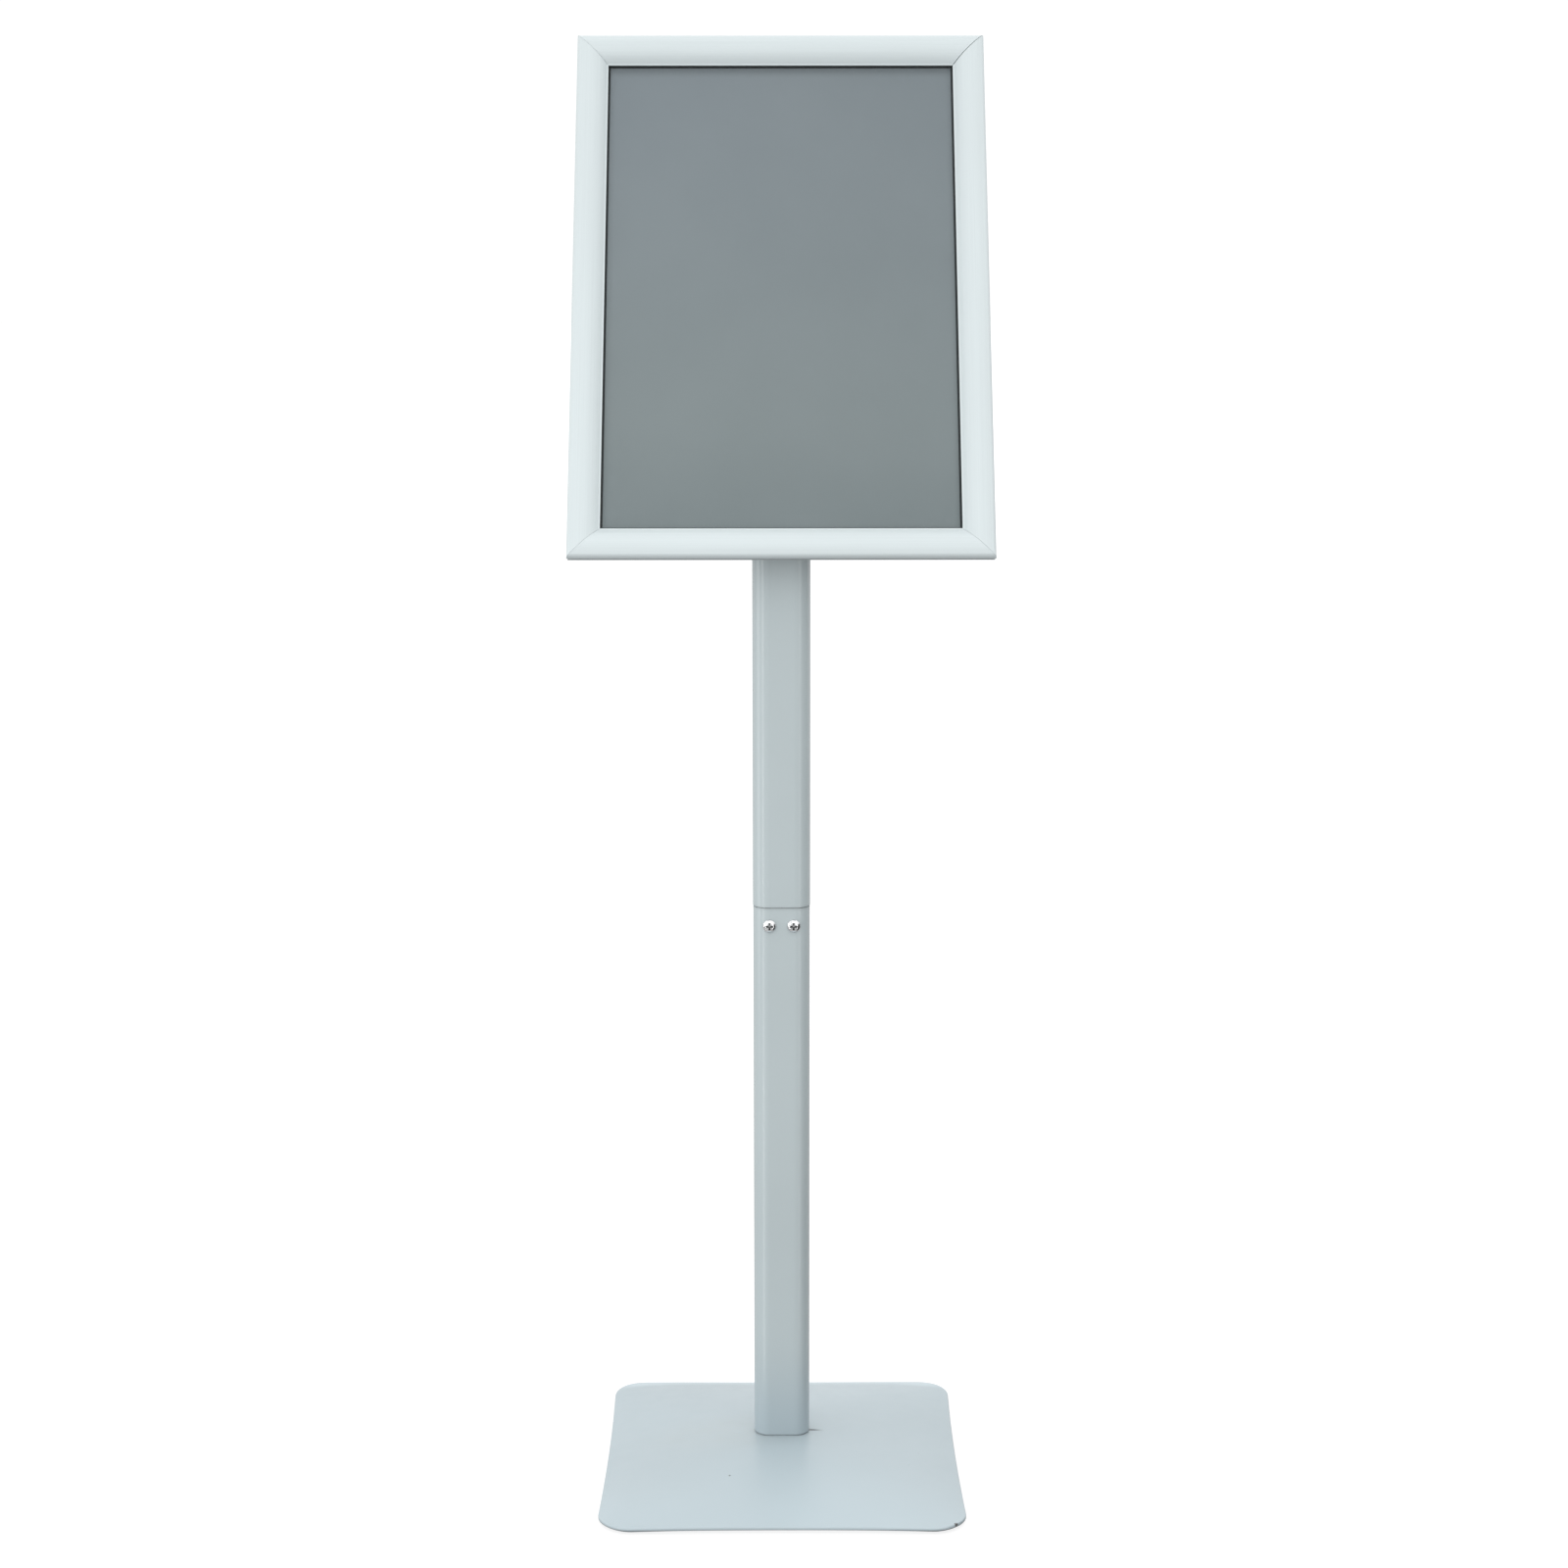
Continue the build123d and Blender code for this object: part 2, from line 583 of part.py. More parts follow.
def shell_section(plane):
    """The cover's visible shell: outer side, crowned face and flat lip over the sheets."""
    lip_top = LIP_W + COVER_WALL
    with BuildSketch(plane) as section:
        with BuildLine() as crown:
            Line((0, COVER_SIDE_W), SHOULDER)
            ThreePointArc(SHOULDER, CROWN_TOP, (LIP_FROM_U, lip_top))
            Line((LIP_FROM_U, lip_top), (PROFILE_W, lip_top))
            fillet(crown.vertices().sort_by_distance((*SHOULDER, 0))[0], SHOULDER_R)
            offset(amount=COVER_WALL, side=Side.RIGHT)
        make_face()
    return section.sketch


def hinge_section(plane):
    """The cover's hinge: a round bead and the web that carries it."""
    with BuildSketch(plane) as section:
        with Locations((HINGE_U, HINGE_W + WEB_H / 2)):
            Rectangle(WEB_T, WEB_H)
        with Locations((HINGE_U, HINGE_W)):
            Circle(BEAD_R)
    return section.sketch


def spring_section(plane):
    """Bent leaf spring: its foot lies on the flange and its nose presses on the web."""
    foot_w = FLANGE + SPRING_T + SPRING_LIFT
    heel = (STOP_U - SPRING_HEEL_GAP, foot_w)
    knee = (SPRING_KNEE_U, foot_w)
    with BuildSketch(plane) as section:
        with BuildLine() as leaf:
            Polyline(heel, knee, SPRING_NOSE, SPRING_TIP)
            bends = leaf.vertices().sort_by(Axis.X)
            fillet(bends[2], SPRING_KNEE_R)
            fillet(bends[0], SPRING_NOSE_R)
            offset(amount=SPRING_T, side=Side.LEFT)
        make_face()
    return section.sketch


corner_signs = [(sx, sv) for sx in (-1, 1) for sv in (-1, 1)]
key_screw_places = []
for sx, sv in corner_signs:
    near_x = sx * (half_w - KEY_U)
    near_v = PIVOT_V + sv * (half_h - KEY_U)
    far_x = sx * (half_w - KEY_SCREW_REACH)
    far_v = PIVOT_V + sv * (half_h - KEY_SCREW_REACH)
    key_screw_places += [(near_x, far_v), (far_x, near_v)]

for side, (edge_middle, inward, half_length) in frame_sides.items():
    section = side_plane(edge_middle, inward)
    with BuildPart() as rail:
        extrude(rail_section(section), amount=half_length, both=True)
        for end in (-1, 1):
            split(bisect_by=mitre_plane(section, half_length, end), keep=Keep.BOTTOM)
        with BuildSketch(head):
            with Locations(*key_screw_places):
                Circle(KEY_SCREW_R + KEY_SCREW_PLAY)
            with Locations((0, PIVOT_V)):
                with GridLocations(2 * bar_screw_x, 2 * CROSSBAR_OFFSET, 2, 2):
                    Circle(BAR_SCREW_R + THREAD_PLAY)
        extrude(amount=FLANGE, mode=Mode.SUBTRACT)
    save(rail, f"rail_{side}")

    with BuildPart() as cover:
        extrude(shell_section(section), amount=half_length, both=True)
        for end in (-1, 1):
            loose = side == "top" and section.z_dir.X * end > 0
            gap = LOOSE_MITRE_GAP if loose else COVER_GAP
            cut = mitre_plane(section, half_length - gap, end)
            split(bisect_by=cut, keep=Keep.BOTTOM)
        extrude(hinge_section(section), amount=half_length - BEAD_END, both=True)
    save(cover, f"cover_{side}")

    with BuildPart() as springs:
        for place in (-0.5, 0.5):
            leaf = spring_section(section.offset(place * half_length))
            extrude(leaf, amount=SPRING_LENGTH / 2, both=True)
    save(springs, f"springs_{side}")

key_names = ["bottom_left", "top_left", "bottom_right", "top_right"]
arm_centre = KEY_U + (KEY_ARM - KEY_WIDTH) / 2
for key_name, (sx, sv) in zip(key_names, corner_signs):
    with BuildPart() as corner_key:
        with BuildSketch(head.offset(FLANGE)):
            with Locations((sx * (half_w - arm_centre), PIVOT_V + sv * (half_h - KEY_U))):
                Rectangle(KEY_ARM, KEY_WIDTH)
            with Locations((sx * (half_w - KEY_U), PIVOT_V + sv * (half_h - arm_centre))):
                Rectangle(KEY_WIDTH, KEY_ARM)
            with Locations(*key_screw_places):
                Circle(KEY_SCREW_R + THREAD_PLAY, mode=Mode.SUBTRACT)
        extrude(amount=KEY_HEIGHT)
    save(corner_key, f"corner_key_{key_name}")

with BuildPart() as key_screws:
    with BuildSketch(head.offset(KEY_SCREW_SINK)):
        with Locations(*key_screw_places):
            Circle(KEY_SCREW_R)
    extrude(amount=FLANGE + KEY_HEIGHT - 2 * KEY_SCREW_SINK)
    with BuildSketch(head.offset(KEY_SCREW_SINK)):
        with Locations(*key_screw_places):
            RegularPolygon(KEY_SOCKET, 6, major_radius=False)
    extrude(amount=KEY_HEIGHT / 2, mode=Mode.SUBTRACT)
save(key_screws, "corner_key_screws")

# ---------------------------------------------------------------------- sheets in frame

sheet_w = FLANGE
for sheet_name, thickness, trim in (
    ("back_panel", BACK_PANEL, BACK_PANEL_TRIM),
    ("poster_sheet", POSTER, 0),
    ("clear_cover_sheet", CLEAR_SHEET, 0),
):
    with BuildPart() as sheet:
        with BuildSketch(head.offset(sheet_w)):
            with Locations((0, PIVOT_V)):
                Rectangle(POSTER_W - trim, POSTER_H - trim)
        extrude(amount=thickness)
    save(sheet, sheet_name)
    sheet_w += thickness
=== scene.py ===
import json
import math

import bmesh
import bpy
from mathutils import Matrix, Vector


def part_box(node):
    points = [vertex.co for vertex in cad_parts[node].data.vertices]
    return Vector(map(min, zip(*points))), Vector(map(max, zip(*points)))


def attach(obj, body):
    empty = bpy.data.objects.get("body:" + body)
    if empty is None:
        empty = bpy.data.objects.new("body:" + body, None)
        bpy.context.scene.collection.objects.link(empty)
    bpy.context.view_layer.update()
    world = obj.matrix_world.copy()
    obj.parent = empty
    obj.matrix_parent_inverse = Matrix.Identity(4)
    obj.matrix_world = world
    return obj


# The looks of a sign stand: powder-coated base and pole, satin anodised snap frame with a
# plain grey sheet, and zinc, plastic and rubber fittings behind and below. Lengths are in
# metres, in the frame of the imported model. Colours are linear. The scale of a noise or of cells
# is the number of their features in a metre.

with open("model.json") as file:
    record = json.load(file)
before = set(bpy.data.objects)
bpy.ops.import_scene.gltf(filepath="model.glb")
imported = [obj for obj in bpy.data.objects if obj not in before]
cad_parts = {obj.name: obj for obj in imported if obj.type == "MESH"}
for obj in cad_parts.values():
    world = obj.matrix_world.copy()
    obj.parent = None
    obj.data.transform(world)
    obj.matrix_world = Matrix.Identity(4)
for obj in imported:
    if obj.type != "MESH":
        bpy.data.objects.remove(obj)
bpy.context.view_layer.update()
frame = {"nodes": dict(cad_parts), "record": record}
nodes = frame["nodes"]
SIDES = ("bottom", "top", "left", "right")
CORNERS = ("bottom_left", "top_left", "bottom_right", "top_right")
PAD_PLACES = ("front_left", "front_right", "rear_left", "rear_right")
MM = 0.001

# The sign's own axes, from the joint that turns it: its normal and the way up its face
joints = frame["record"]["behaviour"]["joints"]
turn_joint = next(joint for joint in joints if joint["name"] == "frame_rotation")
ACROSS = Vector((1.0, 0.0, 0.0))
SIGN_NORMAL = Vector(turn_joint["axis"])
SIGN_CENTRE = Vector(turn_joint["pos_m"])
SIGN_UP = SIGN_NORMAL.cross(ACROSS)
SIGN_LEAN = math.atan2(SIGN_NORMAL.z, -SIGN_NORMAL.y)

# --------------------------------------------------------------------------------- camera

CAMERA_PLACE = (-0.0033, -2.1313, 0.9562)
CAMERA_LENS = 63.09
CAMERA_SENSOR = 36.0
CAMERA_PITCH = 0.1816
CAMERA_YAW = -0.0025
CAMERA_ROLL = -0.0006


def add_camera():
    """Camera in front of the sign at about its height, looking a little down."""
    data = bpy.data.cameras.new("camera")
    data.lens = CAMERA_LENS
    data.sensor_width = CAMERA_SENSOR
    camera = bpy.data.objects.new("camera", data)
    bpy.context.scene.collection.objects.link(camera)
    heading = Matrix.Rotation(CAMERA_YAW, 4, "Z")
    tilt = Matrix.Rotation(math.pi / 2 - CAMERA_PITCH, 4, "X")
    roll = Matrix.Rotation(CAMERA_ROLL, 4, "Z")
    camera.matrix_world = Matrix.Translation(CAMERA_PLACE) @ heading @ tilt @ roll
    bpy.context.scene.camera = camera


# ------------------------------------------------------------------------- material maker


class Paint:
    """One procedural material, built step by step on a Principled shader."""

    def __init__(self, name, base, roughness, metallic=0.0, **settings):
        self.material = bpy.data.materials.new(name)
        self.material.use_nodes = True
        self.tree = self.material.node_tree
        self.shader = self.tree.nodes["Principled BSDF"]
        self.shader.inputs["Base Color"].default_value = (*base, 1.0)
        self.shader.inputs["Roughness"].default_value = roughness
        self.shader.inputs["Metallic"].default_value = metallic
        for socket, value in settings.items():
            self.shader.inputs[socket.replace("_", " ")].default_value = value
        self.place = self.add("ShaderNodeTexCoord").outputs["Object"]
        self.normal = None

    def add(self, kind, **settings):
        node = self.tree.nodes.new(kind)
        for name, value in settings.items():
            setattr(node, name, value)
        return node

    def feed(self, socket, source):
        """Links a socket to a source, or sets it to a plain number or colour."""
        if isinstance(source, tuple):
            socket.default_value = (*source, 1.0) if len(socket.default_value) == 4 else source
        elif isinstance(source, (int, float)):
            socket.default_value = source
        else:
            self.tree.links.new(source, socket)

    def math(self, operation, a, b=0.0):
        node = self.add("ShaderNodeMath", operation=operation)
        self.feed(node.inputs[0], a)
        self.feed(node.inputs[1], b)
        return node.outputs[0]

    def product(self, a, b):
        return self.math("MULTIPLY", a, b)

    def sign_place(self):
        """Position across, up and out of the sign's face, from its centre."""
        node = self.add("ShaderNodeMapping", vector_type="TEXTURE")
        node.inputs["Location"].default_value = SIGN_CENTRE
        node.inputs["Rotation"].default_value = (math.pi / 2 - SIGN_LEAN, 0.0, 0.0)
        self.feed(node.inputs["Vector"], self.place)
        return node.outputs[0]

    def stretched(self, scale, place=None):
        """Position scaled by a different factor along each axis."""
        node = self.add("ShaderNodeMapping")
        node.inputs["Scale"].default_value = scale
        self.feed(node.inputs["Vector"], place or self.place)
        return node.outputs[0]

    def along(self, letter, place=None):
        """One coordinate of a position."""
        node = self.add("ShaderNodeSeparateXYZ")
        self.feed(node.inputs[0], place or self.place)
        return node.outputs[letter]

    def noise(self, scale, detail=2.0, place=None):
        node = self.add("ShaderNodeTexNoise")
        node.inputs["Scale"].default_value = scale
        node.inputs["Detail"].default_value = detail
        self.feed(node.inputs["Vector"], place or self.place)
        return node.outputs["Fac"]

    def cells(self, scale, output="Distance"):
        node = self.add("ShaderNodeTexVoronoi")
        node.inputs["Scale"].default_value = scale
        self.feed(node.inputs["Vector"], self.place)
        return node.outputs[output]

    def near(self, point, place=None):
        """Distance from a point, in metres."""
        node = self.add("ShaderNodeVectorMath", operation="DISTANCE")
        self.feed(node.inputs[0], place or self.place)
        node.inputs[1].default_value = point
        return node.outputs["Value"]

    def ramp(self, source, low, high, at_low=0.0, at_high=1.0):
        """Smoothly maps low..high to at_low..at_high, and holds it beyond."""
        node = self.add("ShaderNodeMapRange", interpolation_type="SMOOTHSTEP")
        for socket, value in zip(node.inputs, (source, low, high, at_low, at_high)):
            self.feed(socket, value)
        return node.outputs["Result"]

    def spread(self, noise, at_low=0.0, at_high=1.0):
        """Maps a noise's usual range, which is narrower than 0 to 1, to at_low..at_high."""
        return self.ramp(noise, 0.3, 0.7, at_low, at_high)

    def mix(self, factor, a, b):
        """Mixes two colours."""
        node = self.add("ShaderNodeMix", data_type="RGBA")
        self.feed(node.inputs["Factor"], factor)
        self.feed(node.inputs[6], a)
        self.feed(node.inputs[7], b)
        return node.outputs[2]

    def set(self, socket, source):
        self.feed(self.shader.inputs[socket], source)

    def relief(self, height, depth, strength=1.0):
        """Adds one layer of bump, depth in metres."""
        node = self.add("ShaderNodeBump")
        node.inputs["Strength"].default_value = strength
        node.inputs["Distance"].default_value = depth
        self.feed(node.inputs["Height"], height)
        if self.normal is not None:
            self.feed(node.inputs["Normal"], self.normal)
        self.normal = node.outputs["Normal"]
        self.set("Normal", self.normal)

    def crevice(self, reach):
        """1 in recesses and corners and 0 in the open."""
        node = self.add("ShaderNodeAmbientOcclusion", samples=8, only_local=True)
        node.inputs["Distance"].default_value = reach
        return self.ramp(node.outputs["AO"], 0.35, 0.85, 1.0, 0.0)

    def edge_wear(self, radius):
        """1 on convex edges and 0 elsewhere, from the angle between flat and rounded normals."""
        rounded = self.add("ShaderNodeBevel", samples=4)
        rounded.inputs["Radius"].default_value = radius
        flat = self.add("ShaderNodeNewGeometry")
        dot = self.add("ShaderNodeVectorMath", operation="DOT_PRODUCT")
        self.feed(dot.inputs[0], rounded.outputs["Normal"])
        self.feed(dot.inputs[1], flat.outputs["Normal"])
        return self.ramp(dot.outputs["Value"], 0.75, 0.97, 1.0, 0.0)


def shade(colour, factor):
    """A colour made lighter or darker."""
    return tuple(min(1.0, channel * factor) for channel in colour)


def dress(made, *names):
    """Gives one material to some CAD nodes."""
    for name in names:
        slots = nodes[name].data.materials
        slots.clear()
        slots.append(made.material)


# ----------------------------------------------------------------------------- powder coat

ORANGE_PEEL = 0.015 * MM
COAT_SPECULAR = 0.62
NIB_HEIGHT = 0.15 * MM
NIB_SCALE = 70.0
BASE_COLOUR = (0.378, 0.448, 0.480)
POLE_COLOUR = (0.437, 0.497, 0.512)
WELD_COLOUR = (0.46, 0.52, 0.535)
# Dust round the foot, with a painted shadow of the pole reaching to its left
DUST_AND_SHADOW_COLOUR = (0.36, 0.40, 0.40)
DUST_AND_SHADOW_LEFT = 44 * MM  # of the foot
DUST_AND_SHADOW_SQUEEZE = 0.5  # across, so that the dust and the painted shadow lie twice as far to the sides
# Painted shade along the base's lower edge
RIM_SHADE_COLOUR = (0.05, 0.06, 0.07)
SPECK_COLOUR = (0.05, 0.05, 0.05)
# A thin dark streak running right from the pole's foot
STREAK_COLOUR = (0.07, 0.09, 0.10)
CHIP_COLOUR = (0.12, 0.12, 0.12)
CHIP_DEPTH = 0.2 * MM
# Painted shade towards the pole's foot
POLE_FOOT_SHADE_COLOUR = (0.26, 0.34, 0.40)
POLE_FOOT_SHADE_HEIGHT = 90 * MM


def powder_coat(name, base, roughness):
    """Sprayed powder coat: orange peel, faint clouds, and a few dust nibs under the paint."""
    m = Paint(name, base, roughness, Specular_IOR_Level=COAT_SPECULAR)
    clouds = m.ramp(m.noise(7.0, 4.0), 0.35, 0.65)
    body = m.mix(clouds, shade(base, 0.985), shade(base, 1.015))
    spots = m.ramp(m.cells(NIB_SCALE), 0.02, 0.045, 1.0, 0.0)
    some_places = m.ramp(m.noise(11.0, 1.0), 0.64, 0.68)
    nibs = m.product(spots, some_places)
    m.body = m.mix(nibs, body, shade(base, 0.55))
    m.set("Base Color", m.body)
    m.set("Roughness", m.spread(m.noise(70.0, 3.0), roughness - 0.02, roughness + 0.03))
    m.relief(m.noise(520.0, 2.0), ORANGE_PEEL, 0.5)
    m.relief(m.noise(2400.0, 1.0), ORANGE_PEEL / 3, 0.5)
    m.relief(nibs, NIB_HEIGHT, 0.6)
    return m


def base_paint():
    """The base's coat: dust and a painted shadow by the foot, painted shade on the left side and
    along the lower edge, painted light on the front, a painted reflection along the rear edge,
    and a few marks.
    """
    m = powder_coat("base_powder_coat", BASE_COLOUR, 0.33)
    low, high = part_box("base_plate")
    tube_low, tube_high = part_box("lower_tube")
    x, y, z = m.along("X"), m.along("Y"), m.along("Z")

    squeezed = m.stretched((DUST_AND_SHADOW_SQUEEZE, 1.0, 1.0))
    off_foot = m.near((-DUST_AND_SHADOW_LEFT * DUST_AND_SHADOW_SQUEEZE, 0.0, tube_low.z), squeezed)
    # Dust round the foot, and the pole's shadow painted to its left
    dust = m.product(m.ramp(off_foot, 10 * MM, 46 * MM, 0.55, 0.0), m.noise(60.0, 4.0))
    tone = m.mix(dust, m.body, DUST_AND_SHADOW_COLOUR)

    # Painted shade on the left side, painted light on the front, and a painted reflection along
    # the rear edge
    darker, lighter = shade(BASE_COLOUR, 0.55), shade(BASE_COLOUR, 1.75)
    tone = m.mix(m.ramp(x, low.x, 0.3 * high.x, 0.20, 0.0), tone, darker)
    tone = m.mix(m.ramp(y, low.y, 0.25 * low.y, 0.10, 0.0), tone, lighter)
    tone = m.mix(m.ramp(y, high.y - 20 * MM, high.y - 6 * MM, 0.0, 0.30), tone, lighter)
    # Painted shade along the lower edge
    tone = m.mix(m.ramp(z, low.z + 0.9 * MM, low.z + 1.7 * MM, 0.9, 0.0), tone, RIM_SHADE_COLOUR)

    off_speck = m.near((0.29 * low.x, 0.53 * low.y, 0.0), m.stretched((1.0, 1.0, 0.0)))
    tone = m.mix(m.ramp(off_speck, 0.7 * MM, 1.0 * MM, 0.9, 0.0), tone, SPECK_COLOUR)

    # A thin dark streak running right from the foot
    start = m.ramp(x, tube_high.x - 1 * MM, tube_high.x)
    fading = m.ramp(x, tube_high.x + 2 * MM, tube_high.x + 13 * MM, 0.95, 0.0)
    thin = m.ramp(m.math("ABSOLUTE", y), 1.1 * MM, 2.1 * MM, 1.0, 0.0)
    tone = m.mix(m.product(m.product(start, fading), thin), tone, STREAK_COLOUR)

    corner = (high.x - 9 * MM, low.y + 7 * MM, low.z + 3 * MM)
    off_chip = m.math("ADD", m.near(corner), m.product(m.noise(420.0, 3.0), 4 * MM))
    chip = m.ramp(off_chip, 3.4 * MM, 3.9 * MM, 1.0, 0.0)
    m.set("Base Color", m.mix(chip, tone, CHIP_COLOUR))
    m.relief(chip, CHIP_DEPTH, -0.8)
    return m


def pole_paint():
    """The pole's coat: painted shade, a little darker towards the foot, a painted contact shadow
    at the foot, and handling marks by the seam.
    """
    m = powder_coat("pole_powder_coat", POLE_COLOUR, 0.22)
    low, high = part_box("lower_tube")
    height = m.along("Z")
    # Painted shade: the lower tube a little darker towards the foot, and more so near it
    tone = m.mix(m.ramp(height, low.z, high.z, 0.08, 0.0), m.body, shade(POLE_COLOUR, 0.5))
    foot_shade = m.ramp(height, low.z, low.z + POLE_FOOT_SHADE_HEIGHT, 0.40, 0.0)
    tone = m.mix(foot_shade, tone, POLE_FOOT_SHADE_COLOUR)
    # Painted contact shadow where the pole stands on the base
    foot_contact_shadow = m.ramp(height, low.z, low.z + 1.4 * MM, 0.7, 0.0)
    tone = m.mix(foot_contact_shadow, tone, shade(POLE_COLOUR, 0.30))
    off_seam = m.math("ABSOLUTE", m.math("SUBTRACT", height, high.z))
    smudge = m.product(m.ramp(off_seam, 0.0, 3 * MM, 0.5, 0.0), m.noise(150.0, 4.0))
    m.set("Base Color", m.mix(smudge, tone, shade(POLE_COLOUR, 0.55)))
    return m


# -------------------------------------------------------------------------- sign materials

SATIN = (0.560, 0.616, 0.628)
# The covers' satin darkened, as painted shade on the rails under them
RAIL_SHADED_SATIN = (0.36, 0.39, 0.40)
DRAWN_ACROSS = (6.0, 2200.0, 2200.0)
DRAWN_UPRIGHT = (2200.0, 6.0, 2200.0)
DIE_LINE_DEPTH = 0.005 * MM
FINE_LINE_DEPTH = 0.002 * MM
SHEET_COLOUR = (0.187, 0.222, 0.232)
# Painted shade: the sheet darker towards the bottom and the right
SHEET_SHADED_BOTTOM = (0.153, 0.184, 0.190)
SHEET_LOWER = (0.175, 0.208, 0.212)
SHEET_UPPER = (0.170, 0.201, 0.219)
SHEET_SHADED_RIGHT = (0.13, 0.155, 0.16)
SHEET_CLOUD = (0.24, 0.275, 0.285)
# Painted shadow line and painted shade under the covers' lips
SHEET_SHADOW = (0.01, 0.013, 0.014)
LINE_BLUR = 0.4 * MM
LINE_OUTSIDE = (-2.6 * MM, -1.8 * MM)  # where the line ends, under the covers' lips


def frame_metal(name, drawn, base, metallic):
    """Satin anodised extrusion: fine die lines along its length and a soft metallic sheen."""
    m = Paint(name, base, 0.52, metallic=metallic)
    place = m.sign_place()
    lines = m.noise(1.0, 3.0, m.stretched(drawn, place))
    fine = m.noise(3.1, 2.0, m.stretched(drawn, place))
    clouds = m.noise(6.0, 2.0, place)
    tone = m.mix(m.spread(lines), shade(base, 0.975), shade(base, 1.02))
    m.set("Base Color", m.mix(m.ramp(clouds, 0.35, 0.7, 0.0, 0.35), tone, shade(base, 0.965)))
    m.set("Roughness", m.spread(fine, 0.47, 0.58))
    m.relief(lines, DIE_LINE_DEPTH, 0.5)
    m.relief(fine, FINE_LINE_DEPTH, 0.5)
    return m


def sign_extent(name, direction):
    """A node's reach along one of the sign's directions, from the sign's centre."""
    reach = [(v.co - SIGN_CENTRE).dot(direction) for v in nodes[name].data.vertices]
    return min(reach), max(reach)


def blank_sheet():
    """Plain grey card: painted shade, darker towards the bottom and the right, soft clouds, and a
    painted shadow line and painted shade where the covers' lips lie.
    """
    m = Paint("blank_sheet", SHEET_COLOUR, 0.62, Specular_IOR_Level=0.15)
    place = m.sign_place()
    x, y = m.along("X", place), m.along("Y", place)
    half_w = -sign_extent("cover_left", ACROSS)[1]
    half_h = sign_extent("cover_top", SIGN_UP)[0]
    # Painted shade, darker towards the bottom and the right
    tone = m.mix(m.ramp(y, -half_h, -0.5 * half_h), SHEET_SHADED_BOTTOM, SHEET_LOWER)
    tone = m.mix(m.ramp(y, -half_h, half_h), tone, SHEET_UPPER)
    tone = m.mix(m.ramp(x, -half_w, half_w, 0.0, 0.20), tone, SHEET_SHADED_RIGHT)
    tone = m.mix(m.spread(m.noise(9.0, 3.0, place), 0.0, 0.10), tone, SHEET_CLOUD)

    side = m.math("SUBTRACT", half_w, m.math("ABSOLUTE", x))
    top = m.math("SUBTRACT", half_h, y)
    bottom = m.math("ADD", half_h, y)
    nearest = m.math("MINIMUM", side, m.math("MINIMUM", top, bottom))
    shown = m.ramp(nearest, *LINE_OUTSIDE)
    # A painted shadow line and painted shade along each cover's lip
    for gap, line, line_depth, shade_width, shade_depth in (
        (side, 1.6 * MM, 0.96, 7 * MM, 0.16),
        (top, 1.2 * MM, 1.0, 11 * MM, 0.40),
        (bottom, 1.6 * MM, 0.60, 5 * MM, 0.10),
    ):
        shaded = m.ramp(gap, 0.0, shade_width, shade_depth, 0.0)
        tone = m.mix(m.product(shaded, shown), tone, SHEET_SHADOW)
        dark = m.ramp(gap, line, line + LINE_BLUR, line_depth, 0.0)
        tone = m.mix(m.product(dark, shown), tone, SHEET_SHADOW)
    m.set("Base Color", tone)
    m.relief(m.noise(1800.0, 3.0), 0.02 * MM, 0.5)
    return m


def clear_cover():
    """Thin anti-glare film over the sheet, with a fine matt grain."""
    m = Paint("clear_cover", (0.62, 0.66, 0.67), 0.38, Alpha=0.03)
    m.relief(m.noise(1500.0, 2.0), 0.01 * MM, 0.5)
    m.set("Roughness", m.spread(m.noise(35.0, 3.0), 0.33, 0.44))
    return m


def back_board():
    """Extruded polystyrene back: dark grey, with drawn lines and a light scuff here and there."""
    base = (0.075, 0.08, 0.085)
    m = Paint("back_board", base, 0.5)
    lines = m.noise(1.0, 2.0, m.stretched((900.0, 9.0, 9.0)))
    scuff = m.ramp(m.noise(16.0, 6.0), 0.60, 0.72, 0.0, 0.35)
    tone = m.mix(m.spread(lines), shade(base, 0.9), shade(base, 1.12))
    m.set("Base Color", m.mix(scuff, tone, (0.17, 0.175, 0.18)))
    m.set("Roughness", m.spread(m.noise(45.0, 3.0), 0.42, 0.58))
    m.relief(lines, 0.02 * MM, 0.5)
    return m


# ----------------------------------------------------------------------- fitting materials


def zinc():
    """Zinc-plated steel: faint crystal patches, rolling lines and slight yellow-blue bloom."""
    base = (0.60, 0.61, 0.62)
    m = Paint("zinc_plate", base, 0.36, metallic=1.0)
    patch = m.along("X", m.cells(160.0, "Color"))
    tone = m.mix(m.ramp(patch, 0.0, 1.0), shade(base, 0.90), shade(base, 1.08))
    bloom = m.ramp(m.noise(22.0, 3.0), 0.45, 0.7, 0.0, 0.4)
    m.set("Base Color", m.mix(bloom, tone, (0.62, 0.58, 0.47)))
    lines = m.noise(1.0, 2.0, m.stretched((40.0, 2600.0, 2600.0)))
    m.set("Roughness", m.spread(m.noise(90.0, 4.0), 0.28, 0.48))
    m.relief(lines, 0.01 * MM, 0.5)
    return m


